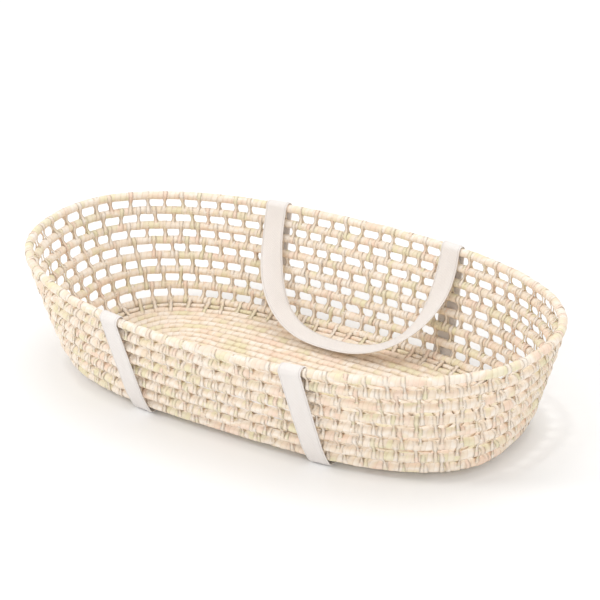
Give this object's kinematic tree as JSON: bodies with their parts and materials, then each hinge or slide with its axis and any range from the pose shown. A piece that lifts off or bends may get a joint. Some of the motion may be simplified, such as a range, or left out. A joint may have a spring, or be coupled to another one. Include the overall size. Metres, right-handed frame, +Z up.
{
  "type": "pet bed basket",
  "caption": "Oval openwork pet basket coiled from husk rope, with a tight rope floor, webbing straps under it and a loop handle on each long side.",
  "frame": {"origin": "on the ground under the middle of the basket", "axes": "+X along the basket's length, +Y across it to the rear long side, +Z up"},
  "size_m": [0.7594, 0.3874, 0.1637],
  "materials": {
    "husk_rope": "rope wrapped crosswise in dry husk strips, matt",
    "husk_tie": "single husk strips, matt with a slight sheen",
    "webbing": "undyed flat cotton webbing, matt"
  },
  "bodies": {
    "basket": {"wall_round_1": "husk_rope", "wall_round_2": "husk_rope", "wall_round_3": "husk_rope", "wall_round_4": "husk_rope", "wall_round_5": "husk_rope", "wall_round_6": "husk_rope", "wall_round_7": "husk_rope", "rim_round": "husk_rope", "wall_ties_1": "husk_tie", "wall_ties_2": "husk_tie", "wall_ties_3": "husk_tie", "wall_ties_4": "husk_tie", "wall_ties_5": "husk_tie", "wall_ties_6": "husk_tie", "wall_ties_7": "husk_tie", "wall_ties_8": "husk_tie", "floor_core": "husk_rope", "floor_round_1": "husk_rope", "floor_round_2": "husk_rope", "floor_round_3": "husk_rope", "floor_round_4": "husk_rope", "floor_round_5": "husk_rope", "floor_round_6": "husk_rope", "floor_round_7": "husk_rope", "floor_round_8": "husk_rope", "floor_round_9": "husk_rope", "floor_round_10": "husk_rope", "left_strap": "webbing", "right_strap": "webbing"},
    "front_handle": {"front_handle": "webbing"},
    "rear_handle": {"rear_handle": "webbing"}
  },
  "joints": [
    {"name": "front_handle_swing", "type": "hinge", "parent": "basket", "child": "front_handle", "pos_m": [0, -0.17982, 0.15126], "axis": [1, 0, 0], "range_deg": [0, 175]},
    {"name": "rear_handle_swing", "type": "hinge", "parent": "basket", "child": "rear_handle", "pos_m": [0, 0.17982, 0.15126], "axis": [-1, 0, 0], "range_deg": [0, 175]}
  ]
}
